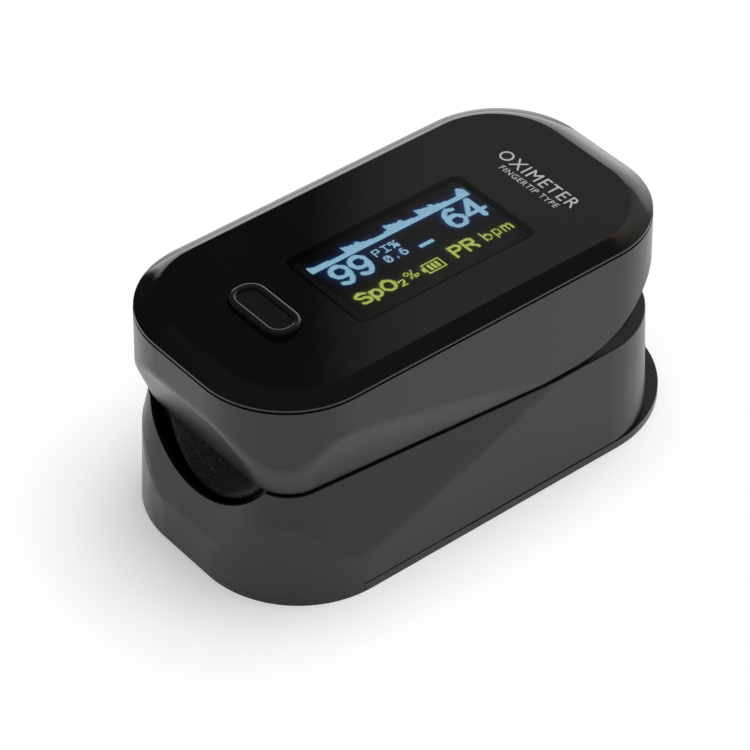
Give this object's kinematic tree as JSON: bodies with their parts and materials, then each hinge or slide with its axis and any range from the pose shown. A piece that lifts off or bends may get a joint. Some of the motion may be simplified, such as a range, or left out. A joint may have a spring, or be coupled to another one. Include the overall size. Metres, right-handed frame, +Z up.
{
  "type": "fingertip pulse oximeter",
  "caption": "Clip-on finger pulse oximeter: two sprung shells on a rear hinge, silicone finger pads, display window, push button and sliding battery cover.",
  "frame": {"origin": "on the resting surface, under the middle of the case's overall length and width", "axes": "+X from the finger entrance to the hinge end, +Y across the case, +Z up from the battery cover to the display"},
  "size_m": [0.0606, 0.0322, 0.0282],
  "materials": {
    "shell": "satin dark grey moulded ABS",
    "gloss_cover": "piano gloss black",
    "button": "gloss black",
    "window": "smoked clear acrylic",
    "lens": "clear resin",
    "display_glass": "polished display glass",
    "foam": "black closed-cell foam",
    "flex": "amber polyimide film",
    "circuit_board": "green solder mask",
    "component": "moulded component body",
    "steel": "bright steel",
    "nickel": "nickel plate",
    "cell": "printed steel can",
    "silicone": "soft charcoal silicone"
  },
  "bodies": {
    "base": {"lower_shell": "shell", "lower_cradle": "shell", "lower_finger_pad": "silicone", "detector_window": "lens", "detector_board": "circuit_board", "photodiode": "component", "aaa_cell_left": "cell", "aaa_cell_right": "cell", "battery_springs": "nickel", "front_contacts": "nickel", "rear_contacts": "nickel", "hinge_pin": "steel", "case_screws": "steel", "torsion_spring_left": "steel", "torsion_spring_right": "steel", "flex_cable": "flex"},
    "battery_cover": {"battery_cover": "shell"},
    "upper": {"upper_shell": "shell", "top_cover": "gloss_cover", "display_window": "window", "display_gasket": "foam", "oled_panel": "display_glass", "display_spacer": "foam", "display_flex": "flex", "main_board": "circuit_board", "mcu_chip": "component", "board_parts": "component", "buzzer": "component", "tact_switch": "component", "board_screws": "steel", "upper_jaw": "shell", "upper_finger_pad": "silicone", "emitter_board": "circuit_board", "emitter_leds": "component", "emitter_window": "lens"},
    "button": {"power_button": "button", "switch_plunger": "component"}
  },
  "joints": [
    {"name": "clip_hinge", "type": "hinge", "parent": "base", "child": "upper", "pos_m": [0.012, 0, 0.0152], "axis": [0, 1, 0], "range_deg": [0, 18], "stiffness_Nm_per_rad": 0.12, "springref_deg": -20.05, "deforming": ["torsion_spring_left", "torsion_spring_right", "flex_cable"]},
    {"name": "button_press", "type": "slide", "parent": "upper", "child": "button", "axis": [0, 0, -1], "range_m": [0, 0.00035], "stiffness_N_per_m": 1500, "springref_m": -0.0003},
    {"name": "battery_cover_slide", "type": "slide", "parent": "base", "child": "battery_cover", "axis": [1, 0, 0], "range_m": [0, 0.052]}
  ]
}
